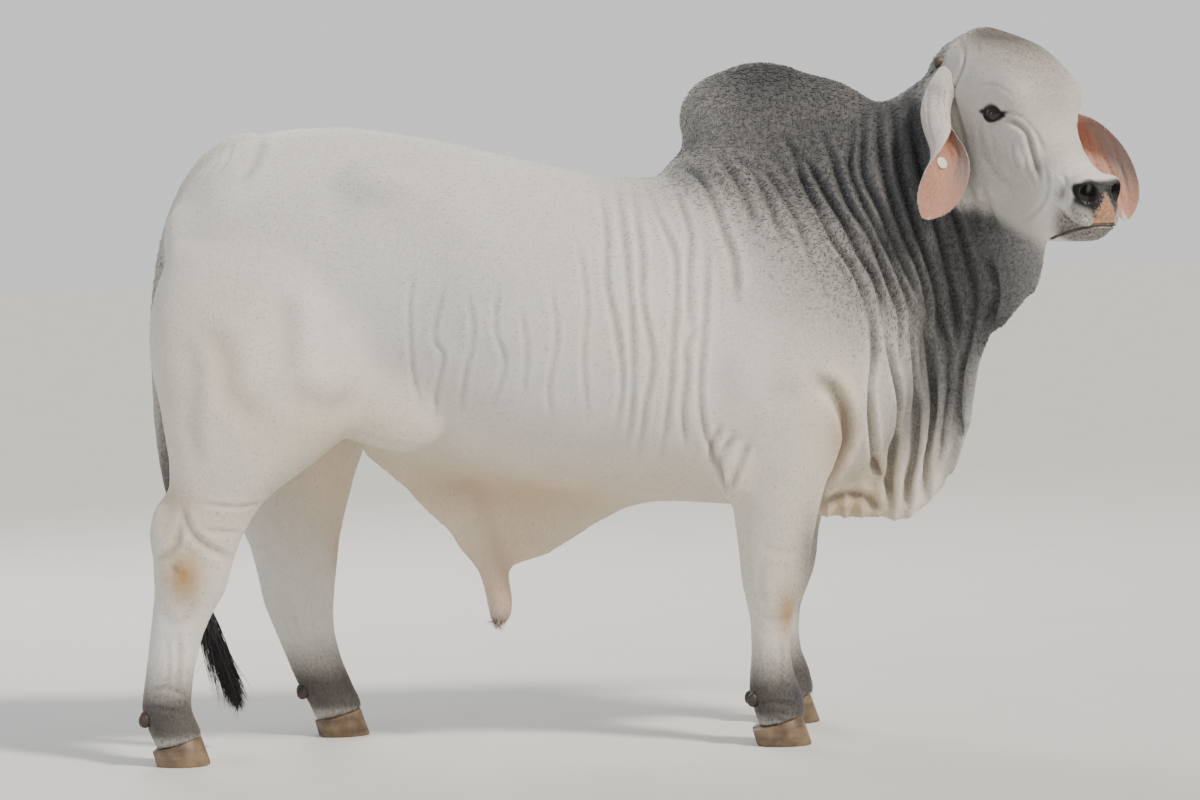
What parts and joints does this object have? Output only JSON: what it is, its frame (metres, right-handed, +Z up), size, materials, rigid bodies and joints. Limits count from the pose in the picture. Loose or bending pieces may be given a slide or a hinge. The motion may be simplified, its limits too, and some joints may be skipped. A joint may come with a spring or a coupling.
{
  "type": "brahman bull",
  "caption": "Life-size standing humped bull with hanging ears, pleated dewlap and sheath, head turned to its right, as a still display model.",
  "frame": {"origin": "on the floor, under the middle of the box around the bull", "axes": "+X forward along the trunk, +Y to the bull's left, +Z up"},
  "size_m": [2.4358, 0.8022, 1.6813],
  "materials": {
    "grey_coat": "short pale grey hair over skin",
    "dark_coat": "short charcoal hair over skin",
    "pale_skin": "thin pinkish skin with sparse hair",
    "dark_hair": "coarse black switch hair",
    "horn": "worn brown horn",
    "hoof": "tan-brown horn of the claws",
    "eye": "wet, nearly black eye",
    "tag": "plain white plastic button"
  },
  "bodies": {
    "root": {"head": "grey_coat", "ear_right": "pale_skin", "ear_left": "pale_skin", "ear_tag": "tag", "eye_right": "eye", "eye_left": "eye", "horn_right": "horn", "horn_left": "horn", "neck": "dark_coat", "dewlap": "grey_coat", "hump": "dark_coat", "chest": "grey_coat", "barrel": "grey_coat", "rump": "grey_coat", "sheath": "pale_skin", "scrotum": "pale_skin", "tail_upper": "grey_coat", "tail_lower": "grey_coat", "tail_switch": "dark_hair", "claw_fore_left_inner": "hoof", "claw_fore_left_outer": "hoof", "claw_fore_right_inner": "hoof", "claw_fore_right_outer": "hoof", "claw_hind_left_inner": "hoof", "claw_hind_left_outer": "hoof", "claw_hind_right_inner": "hoof", "claw_hind_right_outer": "hoof", "dewclaw_fore_left_inner": "hoof", "dewclaw_fore_left_outer": "hoof", "dewclaw_fore_right_inner": "hoof", "dewclaw_fore_right_outer": "hoof", "dewclaw_hind_left_inner": "hoof", "dewclaw_hind_left_outer": "hoof", "dewclaw_hind_right_inner": "hoof", "dewclaw_hind_right_outer": "hoof", "foreleg_left_lower": "grey_coat", "foreleg_left_upper": "grey_coat", "foreleg_right_lower": "grey_coat", "foreleg_right_upper": "grey_coat", "hindleg_left_lower": "grey_coat", "hindleg_left_upper": "grey_coat", "hindleg_right_lower": "grey_coat", "hindleg_right_upper": "grey_coat"}
  },
  "joints": []
}
